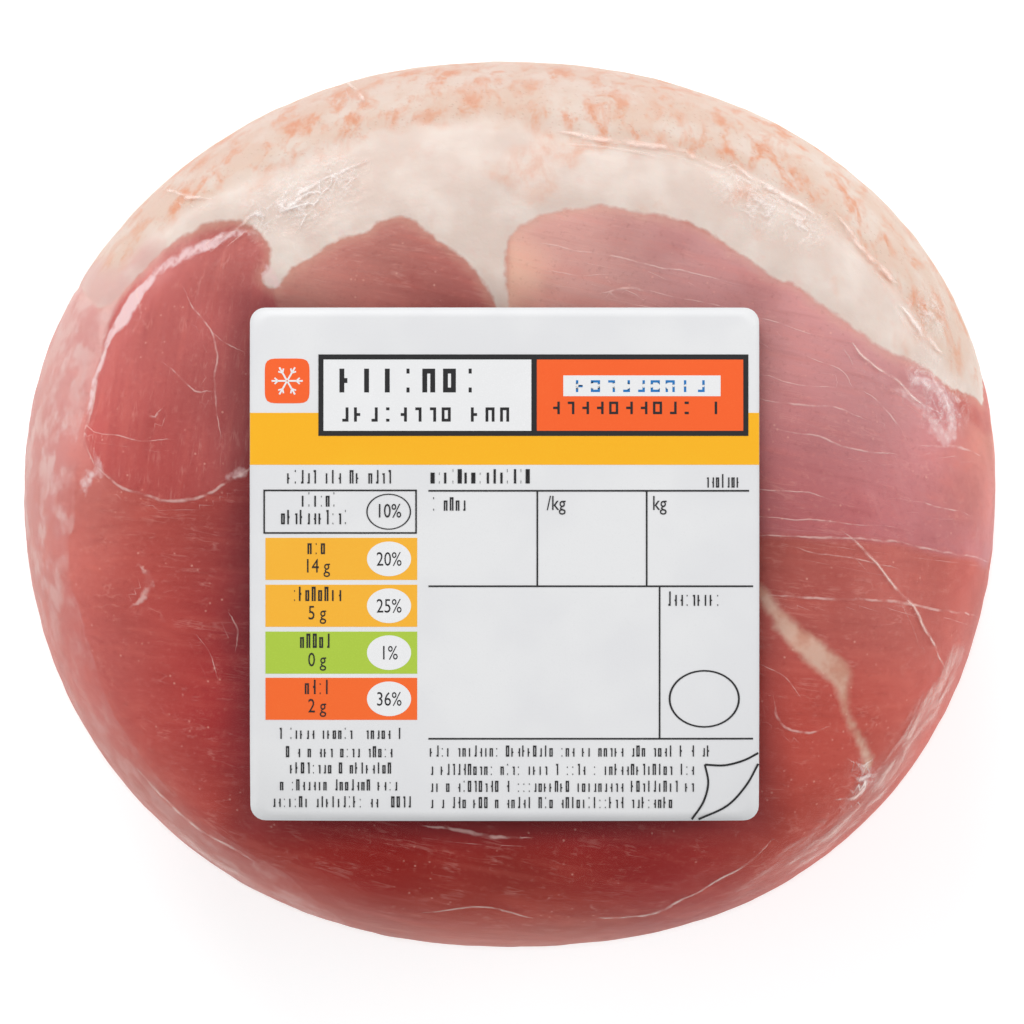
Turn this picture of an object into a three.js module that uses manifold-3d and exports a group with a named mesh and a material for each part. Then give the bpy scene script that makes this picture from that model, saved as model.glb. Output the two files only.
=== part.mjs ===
// Unsmoked gammon joint in a clear shrink bag, with a two-ply peel label on its front cut face.
// Millimetres. +Z is up: the joint lies on its back cut face and the labelled front cut face looks up.
// +Y is the rind side and +X runs along the longer side of the cut face.
// The origin is on the resting face, under the middle of the pack's bounding box.

import * as THREE from "three";
import { mergeVertices } from "three/addons/utils/BufferGeometryUtils.js";
import Module from "manifold-3d";

// ---- Joint: one piece of cured pork with its fat and rind ----
const JOINT_WIDTH = 148; // along X at the girth
const JOINT_DEPTH = 135; // along Y at the girth
const JOINT_HEIGHT = 79; // back cut face to front cut face
const GIRTH_HEIGHT = 39; // widest level, above the back cut face
const BACK_SETTLE = 1.2; // how far the back face is pressed flat by the joint's own weight

// Superellipse powers. A higher power gives flatter faces and a tighter turn into the flank.
const PLAN_POWER = 2.1; // outline seen from above
const RIND_SIDE_POWER = 5.5; // front cut face, towards the rind side
const LEAN_SIDE_POWER = 8.5; // front cut face, towards the lean side
const BACK_POWER = 5; // back cut face

// Slow waves round the outline: waves per turn, height as a share of the radius, direction of a crest.
const OUTLINE_WAVES = [
  { turns: 3, share: 0.0035, crest: 112 },
  { turns: 4, share: 0.0036, crest: 143 },
  { turns: 5, share: 0.0037, crest: 109 },
];

// ---- Shrink bag ----
const FILM_WALL = 0.3;
const FILM_GAP = 0.3; // between the meat and the film
const TAIL_GAP = 0.35; // between a folded seal tail and the film under it
const TAIL_WALL = 1; // two plies of shrunk film
const MOUTH_SLIT = 0.3; // left open between the two plies of the closing tail
const MOUTH_MARGIN = 5; // degrees of sealed tail at each end of the mouth
const ROOT_DEPTH = 2.5; // degrees of latitude where a tail joins the bag

// Each tail is folded down against the lower flank. Angles in degrees: direction is its middle, seen
// from above; root and edge are latitudes below the girth.
const CLOSING_TAIL = { direction: 268, spread: 46, root: -27, edge: -47 };
const FACTORY_TAIL = { direction: 88, spread: 52, root: -29, edge: -38 };

// ---- Peel label: a leaf over a base ply ----
const LABEL_WIDTH = 75;
const LABEL_LENGTH = 75.6;
const LABEL_CORNER = 2.2;
const LABEL_PLACE = { x: -1, y: -8.9 }; // middle of the label, from the middle of the joint
const BASE_PLY = 0.2;
const LEAF_PLY = 0.2;
const PLY_GAP = 0.05; // adhesive line between the plies
const LABEL_CLEARANCE = 0.2; // between the base ply and the highest point of the film
const LABEL_BEND = 0.7; // share of the cut face's fall that the stiff paper follows

// ---- Facets ----
const AROUND = 60; // segments round the outline
const UP = 20; // segments from the back centre to the front centre
const LABEL_CELL = 5; // longest facet between the middle of a ply and its edge, in millimetres
const CORNER_CELLS = 4;
const TAIL_CELLS = { around: 14, down: 4 };

const FRONT_RISE = JOINT_HEIGHT - GIRTH_HEIGHT;
const BACK_FALL = GIRTH_HEIGHT + BACK_SETTLE;
const FILM_OUTSIDE = FILM_GAP + FILM_WALL; // offset of the film's outer face from the meat
const LABEL_CELLS = Math.ceil(Math.max(LABEL_WIDTH, LABEL_LENGTH) / 2 / LABEL_CELL);
const radians = THREE.MathUtils.degToRad;

const wasm = await Module();
wasm.setup();

// ---- The joint's surface ----

// Distance from the middle to the outline at the girth.
function outlineRadius(angle) {
  const x = Math.abs(Math.cos(angle)) / (JOINT_WIDTH / 2);
  const y = Math.abs(Math.sin(angle)) / (JOINT_DEPTH / 2);
  const plain = (x ** PLAN_POWER + y ** PLAN_POWER) ** (-1 / PLAN_POWER);
  let wave = 0;
  for (const { turns, share, crest } of OUTLINE_WAVES) {
    wave += share * Math.cos(turns * angle - radians(crest));
  }
  return plain * (1 + wave);
}

// Superellipse power of the front cut face in a direction.
function frontPower(angle) {
  return THREE.MathUtils.lerp(LEAN_SIDE_POWER, RIND_SIDE_POWER, 0.5 + 0.5 * Math.sin(angle));
}

// Point on the meat. Latitude runs from -90 degrees at the back centre to 90 at the front centre.
// Its height is measured from the bag's resting face.
function meatPoint(angle, latitude) {
  const front = latitude > 0;
  const power = front ? frontPower(angle) : BACK_POWER;
  const reach = outlineRadius(angle) * Math.max(Math.cos(latitude), 0) ** (2 / power);
  const rise = Math.sin(latitude) * (front ? FRONT_RISE : BACK_FALL);
  const height = Math.max(GIRTH_HEIGHT + rise, 0) + FILM_OUTSIDE;
  return new THREE.Vector3(reach * Math.cos(angle), reach * Math.sin(angle), height);
}

// Outward normal of the meat, from two short steps along its surface.
function meatNormal(angle, latitude) {
  const step = 1e-3;
  const safe = THREE.MathUtils.clamp(latitude, -Math.PI / 2 + 2 * step, Math.PI / 2 - 2 * step);
  const along = meatPoint(angle + step, safe).sub(meatPoint(angle - step, safe));
  const upward = meatPoint(angle, safe + step).sub(meatPoint(angle, safe - step));
  return along.cross(upward).normalize();
}

// Point at a distance out from the meat. On the resting face it goes straight down.
function skinPoint(angle, latitude, distance) {
  return meatPoint(angle, latitude).addScaledVector(meatNormal(angle, latitude), distance);
}

// Height of the film's outer face over a point of the front cut face.
function filmHeight(x, y) {
  const angle = Math.atan2(y, x);
  const share = Math.min(Math.hypot(x, y) / outlineRadius(angle), 1);
  const rise = FRONT_RISE * Math.sqrt(1 - share ** frontPower(angle));
  return GIRTH_HEIGHT + rise + 2 * FILM_OUTSIDE;
}

// ---- Shapes ----

// Moves each vertex of a three.js geometry by a function and keeps only its positions.
function reshaped(geometry, move) {
  const position = geometry.getAttribute("position");
  for (let i = 0; i < position.count; i++) {
    const vertex = new THREE.Vector3().fromBufferAttribute(position, i);
    position.setXYZ(i, ...move(vertex).toArray());
  }
  geometry.deleteAttribute("normal");
  geometry.deleteAttribute("uv");
  return mergeVertices(geometry, 1e-4);
}

// Closed skin round the joint at a distance out from the meat.
function skin(distance) {
  const globe = new THREE.SphereGeometry(1, AROUND, UP).rotateX(Math.PI / 2);
  return reshaped(globe, (v) => {
    const latitude = Math.asin(THREE.MathUtils.clamp(v.z, -1, 1));
    return skinPoint(Math.atan2(v.y, v.x), latitude, distance);
  });
}

// Curved plate on the flank, between two latitudes and two distances out from the meat.
function flankPlate({ direction, spread }, fromLatitude, toLatitude, inner, outer) {
  const block = new THREE.BoxGeometry(1, 1, 1, TAIL_CELLS.around, TAIL_CELLS.down, 1);
  return reshaped(block, (v) => {
    const angle = radians(direction + v.x * spread);
    const latitude = radians(THREE.MathUtils.lerp(fromLatitude, toLatitude, 0.5 - v.y));
    return skinPoint(angle, latitude, THREE.MathUtils.lerp(inner, outer, v.z + 0.5));
  });
}

// Label outline, anticlockwise: four corner arcs and the points that divide the sides between them.
function labelOutline() {
  const w = LABEL_WIDTH / 2 - LABEL_CORNER;
  const l = LABEL_LENGTH / 2 - LABEL_CORNER;
  const centres = [[w, l], [-w, l], [-w, -l], [w, -l]];
  const arcs = centres.map(([x, y], quarter) =>
    Array.from({ length: CORNER_CELLS + 1 }, (_, i) => {
      const angle = (quarter + i / CORNER_CELLS) * (Math.PI / 2);
      return new THREE.Vector2(x + LABEL_CORNER * Math.cos(angle), y + LABEL_CORNER * Math.sin(angle));
    }),
  );
  return arcs.flatMap((arc, quarter) => {
    const from = arc[CORNER_CELLS];
    const to = arcs[(quarter + 1) % 4][0];
    for (let i = 1; i < LABEL_CELLS; i++) arc.push(from.clone().lerp(to, i / LABEL_CELLS));
    return arc;
  });
}

// Height of the stiff label over a point of the cut face. It bends part of the way with the film.
function labelHeight(x, y) {
  const crown = filmHeight(0, 0);
  return crown - LABEL_BEND * (crown - filmHeight(x, y));
}

// Closed label-shaped sheet in rings round its middle. Both faces have the same facets.
function labelSheet(lift, thickness) {
  const outline = labelOutline();
  const around = outline.length;
  const positions = [];
  const add = (edge, share, level) => {
    const x = LABEL_PLACE.x + edge.x * share;
    const y = LABEL_PLACE.y + edge.y * share;
    positions.push(x, y, labelHeight(x, y) + level);
  };
  for (const level of [lift, lift + thickness]) {
    add(outline[0], 0, level);
    for (let ring = 1; ring <= LABEL_CELLS; ring++) {
      for (const edge of outline) add(edge, ring / LABEL_CELLS, level);
    }
  }
  const top = 1 + around * LABEL_CELLS;
  const at = (ring, i) => 1 + (ring - 1) * around + (i % around);
  const faces = [];
  const bothFaces = (a, b, c) => faces.push(a, c, b, top + a, top + b, top + c);
  for (let i = 0; i < around; i++) {
    bothFaces(0, at(1, i), at(1, i + 1));
    for (let ring = 1; ring < LABEL_CELLS; ring++) {
      bothFaces(at(ring, i), at(ring + 1, i), at(ring + 1, i + 1));
      bothFaces(at(ring, i), at(ring + 1, i + 1), at(ring, i + 1));
    }
    const [a, b] = [at(LABEL_CELLS, i), at(LABEL_CELLS, i + 1)];
    faces.push(a, b, top + b, a, top + b, top + a);
  }
  return new THREE.BufferGeometry()
    .setAttribute("position", new THREE.Float32BufferAttribute(positions, 3))
    .setIndex(faces);
}

// ---- Joining and cutting ----

function solid(geometry) {
  return new wasm.Manifold(
    new wasm.Mesh({
      numProp: 3,
      vertProperties: new Float32Array(geometry.getAttribute("position").array),
      triVerts: new Uint32Array(geometry.index.array),
    }),
  );
}

function geometryOf(manifold) {
  const mesh = manifold.getMesh();
  return new THREE.BufferGeometry()
    .setAttribute("position", new THREE.BufferAttribute(mesh.vertProperties, 3))
    .setIndex(new THREE.BufferAttribute(mesh.triVerts, 1));
}

// ---- Pieces ----

function gammonJoint() {
  return skin(0);
}

// Seal tail: a double ply that leaves the bag at its root and lies folded down against the flank.
function sealTail(tail) {
  const away = FILM_OUTSIDE + TAIL_GAP;
  const sunk = FILM_GAP + FILM_WALL / 3;
  const flap = flankPlate(tail, tail.root, tail.edge, away, away + TAIL_WALL);
  const root = flankPlate(tail, tail.root, tail.root - ROOT_DEPTH, sunk, away + TAIL_WALL / 2);
  return solid(flap).add(solid(root));
}

// The mouth runs between the two plies of the closing tail, and on through the root to the inside.
function bagMouth() {
  const { direction, spread, root, edge } = CLOSING_TAIL;
  const narrow = { direction, spread: spread - 2 * MOUTH_MARGIN };
  const middle = FILM_OUTSIDE + TAIL_GAP + TAIL_WALL / 2;
  const low = middle - MOUTH_SLIT / 2;
  const high = middle + MOUTH_SLIT / 2;
  const top = root - ROOT_DEPTH * 0.3;
  const slit = flankPlate(narrow, top, edge - 1, low, high);
  const passage = flankPlate(narrow, top, root - ROOT_DEPTH * 0.7, 0, high);
  return solid(slit).add(solid(passage));
}

function shrinkBag() {
  const shell = solid(skin(FILM_OUTSIDE)).subtract(solid(skin(FILM_GAP)));
  const bag = shell.add(sealTail(CLOSING_TAIL)).add(sealTail(FACTORY_TAIL));
  return geometryOf(bag.subtract(bagMouth()));
}

function labelBase() {
  return labelSheet(LABEL_CLEARANCE, BASE_PLY);
}

function labelLeaf() {
  return labelSheet(LABEL_CLEARANCE + BASE_PLY + PLY_GAP, LEAF_PLY);
}

// ---- Materials ----

const curedPork = new THREE.MeshStandardMaterial({ color: 0xb9605c, roughness: 0.45, metalness: 0 });
const clearFilm = new THREE.MeshStandardMaterial({
  color: 0xf6eeee,
  roughness: 0.12,
  metalness: 0,
  transparent: true,
  opacity: 0.15,
});
const labelPaper = new THREE.MeshStandardMaterial({ color: 0xe9e9e9, roughness: 0.5, metalness: 0 });

// ---- Assembly ----

const gammon = new THREE.Group();

function place(name, geometry, material) {
  const mesh = new THREE.Mesh(geometry, material);
  mesh.name = name;
  gammon.add(mesh);
}

place("gammon_joint", gammonJoint(), curedPork);
place("shrink_bag", shrinkBag(), clearFilm);
place("label_base_ply", labelBase(), labelPaper);
place("label_peel_leaf", labelLeaf(), labelPaper);

// The outline's waves are uneven, so the pack is moved to stand centred over the origin.
const box = new THREE.Box3().setFromObject(gammon);
const middle = box.getCenter(new THREE.Vector3());
gammon.position.set(-middle.x, -middle.y, -box.min.z);

export default gammon;
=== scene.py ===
"""A gammon joint in a clear shrink bag, with a two-ply peel label on its front cut face.

Shapes are worked out in millimetres from the middle of the cut face, +X along its longer side and +Y
towards the rind, and are moved to the CAD frame and turned into metres as each mesh is made.
"""

import math

import bpy
import numpy as np
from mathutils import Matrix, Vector


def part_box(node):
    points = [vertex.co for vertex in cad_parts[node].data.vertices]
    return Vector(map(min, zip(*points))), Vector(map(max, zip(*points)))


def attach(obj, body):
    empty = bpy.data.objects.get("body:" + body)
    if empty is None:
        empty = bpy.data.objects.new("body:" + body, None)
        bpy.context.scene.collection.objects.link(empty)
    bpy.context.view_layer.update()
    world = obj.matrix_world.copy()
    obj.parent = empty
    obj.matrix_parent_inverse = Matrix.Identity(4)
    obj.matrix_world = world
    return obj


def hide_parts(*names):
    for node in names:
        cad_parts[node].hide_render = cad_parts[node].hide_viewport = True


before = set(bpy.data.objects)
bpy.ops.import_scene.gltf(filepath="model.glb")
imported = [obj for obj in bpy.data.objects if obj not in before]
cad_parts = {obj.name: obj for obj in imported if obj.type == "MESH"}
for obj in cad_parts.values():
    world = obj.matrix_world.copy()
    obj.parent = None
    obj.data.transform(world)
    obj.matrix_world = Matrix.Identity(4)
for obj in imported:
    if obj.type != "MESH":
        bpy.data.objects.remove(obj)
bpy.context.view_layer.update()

MM = 0.001

# ---- Sizes, the same as the CAD part's ----

JOINT_WIDTH, JOINT_DEPTH, JOINT_HEIGHT, GIRTH_HEIGHT = 148, 135, 79, 39
BACK_SETTLE = 1.2
PLAN_POWER, RIND_SIDE_POWER, LEAN_SIDE_POWER, BACK_POWER = 2.1, 5.5, 8.5, 5
OUTLINE_WAVES = ((3, 0.0035, 112), (4, 0.0036, 143), (5, 0.0037, 109))
FILM_OUTSIDE = 0.6
LABEL_WIDTH, LABEL_LENGTH, LABEL_CORNER = 75, 75.6, 2.2
LABEL_PLACE = np.array([-1.0, -8.9])
LABEL_CLEARANCE, PLY, PLY_GAP, LABEL_BEND = 0.2, 0.2, 0.05, 0.7
FRONT_RISE = JOINT_HEIGHT - GIRTH_HEIGHT
BACK_FALL = GIRTH_HEIGHT + BACK_SETTLE

PORK_GRID, FILM_GRID, TAIL_GRID = (448, 206), (400, 184), (301, 25)  # points around and along
SHOULDER = 70  # height below which the flank is unrolled outwards
UNROLLED_SHARE = 0.8

leaf_low, leaf_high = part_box("label_peel_leaf")
FACE_MIDDLE = np.array((leaf_low + leaf_high)[:2]) / 2 / MM - LABEL_PLACE


# ---- Shapes on the joint ----

def outline_radius(angle):
    """Distance from the middle to the outline at the girth."""
    x = np.abs(np.cos(angle)) / (JOINT_WIDTH / 2)
    y = np.abs(np.sin(angle)) / (JOINT_DEPTH / 2)
    plain = (x**PLAN_POWER + y**PLAN_POWER) ** (-1 / PLAN_POWER)
    return plain * (1 + sum(s * np.cos(n * angle - math.radians(c)) for n, s, c in OUTLINE_WAVES))


def front_power(angle):
    return LEAN_SIDE_POWER + (RIND_SIDE_POWER - LEAN_SIDE_POWER) * (0.5 + 0.5 * np.sin(angle))


def joint_point(angle, latitude):
    """Point on the meat, from latitude -90 degrees at the back centre to 90 at the front centre."""
    power = np.where(latitude > 0, front_power(angle), BACK_POWER)
    reach = outline_radius(angle) * np.maximum(np.cos(latitude), 0) ** (2 / power)
    rise = np.sin(latitude) * np.where(latitude > 0, FRONT_RISE, BACK_FALL)
    height = np.maximum(GIRTH_HEIGHT + rise, 0) + FILM_OUTSIDE
    return np.stack([reach * np.cos(angle), reach * np.sin(angle), height], -1)


def joint_normal(angle, latitude):
    step = 1e-3
    safe = np.clip(latitude, -math.pi / 2 + 2 * step, math.pi / 2 - 2 * step)
    along = joint_point(angle + step, safe) - joint_point(angle - step, safe)
    upward = joint_point(angle, safe + step) - joint_point(angle, safe - step)
    normal = np.cross(along, upward)
    return normal / np.linalg.norm(normal, axis=-1, keepdims=True)


def film_height(x, y):
    """Height of the film's outer face over a point of the front cut face."""
    angle = np.arctan2(y, x)
    share = np.minimum(np.hypot(x, y) / outline_radius(angle), 1)
    return GIRTH_HEIGHT + FRONT_RISE * np.sqrt(1 - share ** front_power(angle)) + 2 * FILM_OUTSIDE


def label_height(x, y):
    """Height of the stiff label, which bends part of the way with the film."""
    crown = film_height(0.0, 0.0)
    return crown - LABEL_BEND * (crown - film_height(x, y))


def lumps(points, size, seed):
    """Smooth random field from -1 to 1 with features of about one size."""
    lattice = np.random.default_rng(seed).uniform(-1, 1, (32, 32, 32))
    cell = np.floor(points / size).astype(int)
    part = points / size - cell
    part = part * part * (3 - 2 * part)
    total = 0
    for corner in np.ndindex(2, 2, 2):
        weight = np.prod(np.where(corner, part, 1 - part), axis=-1)
        i, j, k = np.moveaxis((cell + corner) % 32, -1, 0)
        total = total + weight * lattice[i, j, k]
    return total


def smooth_step(low, high, value):
    t = np.clip((value - low) / (high - low), 0, 1)
    return t * t * (3 - 2 * t)


def smooth_line(points, pieces=4, closed=False):
    """Catmull-Rom curve through given points. Columns after x and y are carried along."""
    p = np.array(points, float)
    ends = (p[-1:], p[:2]) if closed else (2 * p[:1] - p[1:2], 2 * p[-1:] - p[-2:-1])
    p = np.vstack([ends[0], p, ends[1]])
    t = np.linspace(0, 1, pieces, endpoint=False)[:, None]
    runs = []
    for a, b, c, d in zip(p, p[1:], p[2:], p[3:]):
        runs.append(0.5 * (2 * b + (c - a) * t + (2 * a - 5 * b + 4 * c - d) * t**2
                           + (3 * b - a - 3 * c + d) * t**3))
    if not closed:
        runs.append(p[-2:-1])
    return np.vstack(runs)


def region_distance(points, outline):
    """Distance to a closed outline, positive inside it."""
    line = smooth_line(outline, closed=True)
    nearest = np.full(len(points), 1e9)
    inside = np.zeros(len(points), bool)
    for a, b in zip(line, np.roll(line, -1, 0)):
        run = b - a
        away = points - a
        t = np.clip(away @ run / max(run @ run, 1e-9), 0, 1)
        nearest = np.minimum(nearest, np.hypot(*(away - t[:, None] * run).T))
        spans = (a[1] > points[:, 1]) != (b[1] > points[:, 1])
        crossing = a[0] + (points[:, 1] - a[1]) * run[0] / (run[1] if run[1] else 1e-9)
        inside ^= spans & (points[:, 0] < crossing)
    return np.where(inside, nearest, -nearest)


STROKE_REACH = 1.7  # how far from a stroke its field is kept


def stroke_field(points, strokes):
    """Signed distance to the nearest stroke in half widths, and the stroke's presence from 0 to 1.

    A stroke is a list of points and a half width, which tapers to its two ends.
    """
    nearest = np.full(len(points), STROKE_REACH)
    signed = np.full(len(points), 9.0)
    presence = np.zeros(len(points))
    for line, half_width in strokes:
        line = smooth_line(line)
        low, high = line[:, :2].min(0) - 3, line[:, :2].max(0) + 3
        near = np.flatnonzero(((points > low) & (points < high)).all(1))
        last = len(line) - 2
        for i, (a, b) in enumerate(zip(line, line[1:])):
            run = b - a
            length = math.hypot(*run)
            away = points[near] - a
            t = away @ run / length**2
            across = (run[0] * away[:, 1] - run[1] * away[:, 0]) / length
            beyond = np.maximum(np.maximum(-t, t - 1), 0) * length
            distance = np.hypot(across, beyond)
            ahead = (i + np.clip(t, 0, 1)) / (last + 1)
            taper = 0.35 + 0.65 * np.sqrt(np.clip(4 * ahead * (1 - ahead), 0, 1))
            better = distance < nearest[near]
            spot = near[better]
            nearest[spot] = distance[better]
            signed[spot] = (across / (half_width * taper))[better]
            fade = smooth_step(STROKE_REACH, 1.1, distance) * smooth_step(1.4, 0, beyond)
            presence[spot] = fade[better]
    return signed, presence


def blend_tints(points, tints):
    """Colour at each point from a few listed tints: x, y, reach and colour."""
    weights, colours = [], []
    for x, y, reach, colour in tints:
        weights.append(np.exp(-((points[:, 0] - x) ** 2 + (points[:, 1] - y) ** 2) / (2 * reach**2)) + 1e-6)
        colours.append(ink(*colour)[:3])
    weights = np.array(weights)
    return (weights / weights.sum(0)).T @ np.array(colours)


def ink(red, green, blue):
    """Linear colour from everyday 0 to 255 values."""
    def linear(c):
        c /= 255
        return c / 12.92 if c <= 0.04045 else ((c + 0.055) / 1.055) ** 2.4
    return (linear(red), linear(green), linear(blue), 1)


# ---- Meshes ----

def put(name, vertices, faces, smooth=True):
    """Object from vertices in millimetres on the cut face's axes."""
    moved = np.array(vertices, float) + [*FACE_MIDDLE, 0]
    mesh = bpy.data.meshes.new(name)
    mesh.from_pydata((moved * MM).tolist(), [], [list(f) for f in faces])
    mesh.update()
    piece = bpy.data.objects.new(name, mesh)
    bpy.context.scene.collection.objects.link(piece)
    if smooth:
        mesh.shade_smooth()
    return piece


def keep(piece, name, values):
    """Stores a number, vector or colour for each vertex."""
    values = np.asarray(values, np.float32)
    kind, field = {1: ("FLOAT", "value"), 3: ("FLOAT_VECTOR", "vector"), 4: ("FLOAT_COLOR", "color")}[
        1 if values.ndim == 1 else values.shape[1]
    ]
    piece.data.attributes.new(name, kind, "POINT").data.foreach_set(field, values.ravel())


def finish_piece(piece, material, slot, *replaced):
    piece.data.materials.clear()
    piece.data.materials.append(material)
    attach(piece, "root")
    if replaced:
        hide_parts(*replaced)
    return piece


def ring_latitudes(rings):
    """Latitudes that space the rings evenly along the joint's side profile."""
    fine = np.linspace(-math.pi / 2, math.pi / 2, 4001)
    path = joint_point(np.zeros_like(fine), fine)
    run = np.concatenate([[0], np.cumsum(np.linalg.norm(np.diff(path, axis=0), axis=1))])
    return np.interp(np.linspace(0, run[-1], rings + 1), run, fine)[1:-1]


class Skin:
    """Closed grid of points round the joint: a pole at the back, rings, and a pole at the front.

    Its unrolled places are those on the cut face, carried on outwards down the flank.
    """

    def __init__(self, around, rings):
        self.around = around
        latitude = ring_latitudes(rings)
        self.rings = len(latitude)
        angle = np.arange(around) * 2 * math.pi / around
        grid_latitude, grid_angle = np.meshgrid(latitude, angle, indexing="ij")
        self.angle = np.concatenate([[0], grid_angle.ravel(), [0]])
        self.latitude = np.concatenate([[-math.pi / 2], grid_latitude.ravel(), [math.pi / 2]])
        self.point = joint_point(self.angle, self.latitude)
        self.normal = joint_normal(self.angle, self.latitude)
        self.normal[0], self.normal[-1] = (0, 0, -1), (0, 0, 1)
        self.plan = self.point[:, :2]
        reach = np.maximum(np.hypot(*self.plan.T), 1e-6)
        share = UNROLLED_SHARE * (reach / outline_radius(self.angle)) ** 2
        drop = share * np.maximum(SHOULDER - self.point[:, 2], 0)
        self.unrolled = self.plan * (1 + drop / reach)[:, None]
        self.front = self.latitude > 0

    def faces(self):
        n, last = self.around, self.around * self.rings + 1
        faces = [(0, 1 + (i + 1) % n, 1 + i) for i in range(n)]
        for ring in range(self.rings - 1):
            low = 1 + ring * n
            for i in range(n):
                j = (i + 1) % n
                faces.append((low + i, low + j, low + n + j, low + n + i))
        top = 1 + (self.rings - 1) * n
        faces += [(top + i, top + (i + 1) % n, last) for i in range(n)]
        return faces

    def raised(self, height):
        """The skin's points moved out along the joint's normals."""
        return self.point + self.normal * height[:, None]


# ---- Node writing ----

class Value:
    """Output of a node. Arithmetic on it adds Math nodes."""

    def __init__(self, graph, socket):
        self.graph, self.socket = graph, socket

    def maths(self, operation, *values):
        return self.graph.node("ShaderNodeMath", values, operation=operation)

    def __add__(self, other): return self.maths("ADD", self, other)
    def __radd__(self, other): return self.maths("ADD", other, self)
    def __sub__(self, other): return self.maths("SUBTRACT", self, other)
    def __rsub__(self, other): return self.maths("SUBTRACT", other, self)
    def __mul__(self, other): return self.maths("MULTIPLY", self, other)
    def __rmul__(self, other): return self.maths("MULTIPLY", other, self)
    def __truediv__(self, other): return self.maths("DIVIDE", self, other)
    def __pow__(self, other): return self.maths("POWER", self, other)
    def __abs__(self): return self.maths("ABSOLUTE", self)
    def least(self, other): return self.maths("MINIMUM", self, other)
    def most(self, other): return self.maths("MAXIMUM", self, other)

    def step(self, low, high, start=0.0, end=1.0):
        """Smooth change from start to end as the value goes from low to high."""
        return self.graph.node("ShaderNodeMapRange", (self, low, high, start, end),
                               interpolation_type="SMOOTHSTEP")


class Graph:
    """A node tree and the one method that makes its nodes."""

    def __init__(self, tree):
        self.tree = tree

    def node(self, kind, values=(), output=0, **settings):
        node = self.tree.nodes.new(kind)
        for setting, value in settings.items():
            setattr(node, setting, value)
        pairs = values.items() if isinstance(values, dict) else enumerate(values)
        for socket, value in pairs:
            for item in value if isinstance(value, list) else [value]:
                if isinstance(item, Value):
                    self.tree.links.new(item.socket, node.inputs[socket])
                else:
                    node.inputs[socket].default_value = item
        return Value(self, node.outputs[output]) if len(node.outputs) else node


class Finish(Graph):
    """A procedural material. Lengths in it are millimetres."""

    def __init__(self, name):
        self.material = bpy.data.materials.new(name)
        self.material.use_nodes = True
        super().__init__(self.material.node_tree)
        self.tree.nodes.clear()

    def place(self, stretch=(1, 1, 1), turn=0.0):
        """Object coordinates in millimetres, turned about Z, then stretched."""
        here = self.node("ShaderNodeTexCoord", output=3)
        return self.node("ShaderNodeMapping", {0: here, 2: (0, 0, turn), 3: tuple(s / MM for s in stretch)},
                         vector_type="POINT")

    def stretched(self, vector, stretch):
        return self.node("ShaderNodeVectorMath", (vector, stretch), operation="MULTIPLY")

    def attribute(self, name, output=2):
        return self.node("ShaderNodeAttribute", output=output, attribute_name=name)

    def noise(self, vector, size, detail=2.0, roughness=0.5, distortion=0.0):
        """Noise from 0 to 1 with features of about one size."""
        return self.node("ShaderNodeTexNoise", {
            "Vector": vector, "Scale": 1 / size, "Detail": detail, "Roughness": roughness,
            "Distortion": distortion,
        })

    def cells(self, vector, size):
        return self.node("ShaderNodeTexVoronoi", {"Vector": vector, "Scale": 1 / size})

    def mix(self, first, second, amount):
        return self.node("ShaderNodeMix", {0: amount, 6: first, 7: second}, output=2, data_type="RGBA")

    def layered(self, colour, *layers):
        """A colour with others over it, each given as an everyday colour and its amount."""
        for tint, amount in layers:
            colour = self.mix(colour, ink(*tint), amount)
        return colour

    def bump(self, height, distance, strength=1.0):
        """Distance is in millimetres."""
        return self.node("ShaderNodeBump", {"Height": height, "Distance": distance * MM,
                                            "Strength": strength})

    def surface(self, **sockets):
        return self.node("ShaderNodeBsdfPrincipled", {k.replace("_", " "): v for k, v in sockets.items()})

    def end(self, shader):
        self.node("ShaderNodeOutputMaterial", (shader,))
        return self.material


# ---- The pork: where its muscles, fat and rind lie on the cut face ----

# Everything outside this line is fat. It starts low on the left, crosses over the three upper muscles,
# with a white notch between the first two and a tongue of fat before the third, and ends on the right.
FAT_EDGE = (
    (-200, 97), (-120, 58), (-84, 40.8), (-66.8, 32.4), (-63.8, 31.4), (-61.4, 32.2), (-59.4, 33.6),
    (-57.4, 34.8), (-53.6, 37.3), (-49.8, 39.2), (-47.4, 40.4), (-44.8, 41.8), (-39.5, 42.2), (-36.8, 39.8),
    (-35.4, 37.5), (-36.2, 35), (-37, 33.4), (-35.2, 32), (-34, 33), (-32, 35),
    (-29, 36.7), (-27, 38.4), (-24.3, 39.6), (-21, 40.4), (-19.3, 42), (-16, 42.4), (-13.7, 41.2),
    (-10.8, 39), (-8, 37), (-6, 34.9), (-4, 32.4), (-2.6, 30), (-1.6, 27.5), (-0.6, 26), (0, 28.5),
    (-0.6, 32), (-1, 36), (0, 39.5), (3, 42.3), (8.4, 43.7), (14, 43.9), (20.4, 42.8), (27, 41.2),
    (31, 39), (35.2, 36), (38.6, 33.4), (42, 32.4), (45.5, 29.6), (49.6, 26.8), (53, 24.3), (57, 22.2),
    (60.8, 20.9), (64.6, 19.4), (67.4, 18.4), (70, 18.2), (74, 19), (90, 23), (120, 30.7), (200, 51),
)
FAT_OUTLINE = FAT_EDGE + ((200, 200), (-200, 200))

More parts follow.
